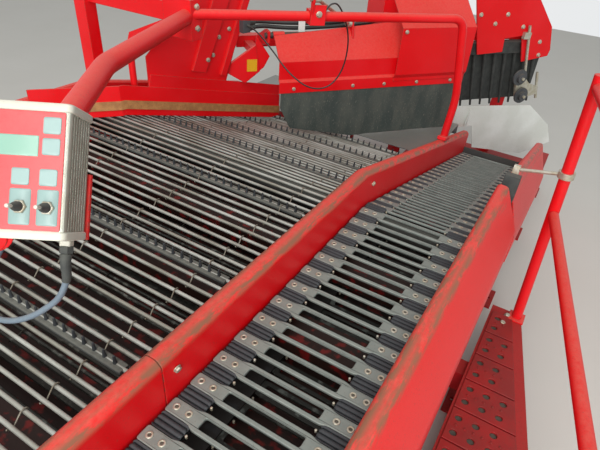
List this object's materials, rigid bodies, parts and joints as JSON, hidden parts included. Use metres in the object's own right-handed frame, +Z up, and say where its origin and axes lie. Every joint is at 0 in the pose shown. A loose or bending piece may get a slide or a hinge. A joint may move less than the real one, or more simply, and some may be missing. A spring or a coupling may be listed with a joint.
{
  "type": "potato harvester picking table",
  "caption": "Picking table of a towed potato harvester: rod web, slatted trash web, red walls and divider, hood with rubber curtain, picker's platform and control terminal.",
  "frame": {"origin": "underside of the foot under the table's middle", "axes": "+Z up, +X across the table to the picker's platform, +Y along the webs as the crop travels, away from the picker's end"},
  "size_m": [2.65, 4.0768, 1.5566],
  "materials": {
    "red_paint": "signal red paint, dusty and scuffed along the ridges",
    "worn_steel": "bare spring-steel rods worn pale by the crop",
    "slat_steel": "dusty grey-green forged steel slats",
    "dark_steel": "dark oiled steel",
    "grey_plate": "smooth grey painted sheet",
    "black_rubber": "dusty black rubber",
    "cord_rubber": "blue-grey cable sheath",
    "cast_iron": "cast iron with worn grey paint",
    "wear_strip": "tan wear strip smeared with soil",
    "zinc": "dull galvanised steel",
    "yellow_plate": "blank yellow plate",
    "terminal_case": "off-white terminal case",
    "white_plastic": "off-white plastic sheet"
  },
  "bodies": {
    "table": {"base_beams": "red_paint", "cross_members": "red_paint", "base_feet": "red_paint", "frame_posts": "red_paint", "web_cross_members": "red_paint", "centre_frame": "red_paint", "left_wall": "red_paint", "right_wall_near": "red_paint", "right_wall_far": "red_paint", "wall_buffer": "black_rubber", "divider_near": "red_paint", "divider_far": "red_paint", "main_web": "worn_steel", "main_web_rollers": "black_rubber", "narrow_web": "slat_steel", "narrow_web_rollers": "black_rubber", "bearings": "cast_iron", "end_plate": "dark_steel", "outlet_plate": "grey_plate", "outlet_gussets": "red_paint", "guide_panel": "red_paint", "guide_extension": "red_paint", "guide_brackets": "red_paint", "wear_strip": "wear_strip", "arm_bracket": "red_paint", "arm_gusset": "red_paint", "side_housing": "red_paint", "housing_rails": "red_paint", "gantry_posts": "red_paint", "gantry_beams": "red_paint", "gantry_arms": "red_paint", "hinge_tube": "dark_steel", "hood_tube": "red_paint", "tube_bracket": "red_paint", "hood_rod": "zinc", "drive_housing": "red_paint", "small_box": "red_paint", "blank_plate": "yellow_plate", "hose_block": "cast_iron", "upper_hose": "black_rubber", "lower_hose": "black_rubber", "hood_cable": "black_rubber", "soil_pans": "red_paint", "tie_rod": "zinc", "platform_floor": "red_paint", "railing_posts": "red_paint", "railing_rails": "red_paint", "control_arm": "red_paint", "terminal_mount": "red_paint", "terminal_case": "terminal_case", "terminal_cord": "cord_rubber", "chute": "white_plastic", "finger_belt": "black_rubber", "side_plate": "red_paint", "roller_carrier": "zinc"},
    "hood": {"hood": "red_paint", "hood_cover": "red_paint", "curtain": "black_rubber"},
    "roller_upper": {"roller_upper": "cast_iron"},
    "roller_lower": {"roller_lower": "cast_iron"}
  },
  "joints": [
    {"name": "hood_lift", "type": "hinge", "parent": "table", "child": "hood", "pos_m": [-0.09476, 1.83651, 1.138], "axis": [-0.6293, -0.7771, 0], "range_deg": [0, 25]},
    {"name": "roller_upper_spin", "type": "hinge", "parent": "table", "child": "roller_upper", "pos_m": [0.60831, 2.77783, 0.818], "axis": [-0.7771, 0.6293, 0], "continuous": true},
    {"name": "roller_lower_spin", "type": "hinge", "parent": "table", "child": "roller_lower", "pos_m": [0.64292, 2.82057, 0.694], "axis": [-0.7771, 0.6293, 0], "continuous": true}
  ]
}
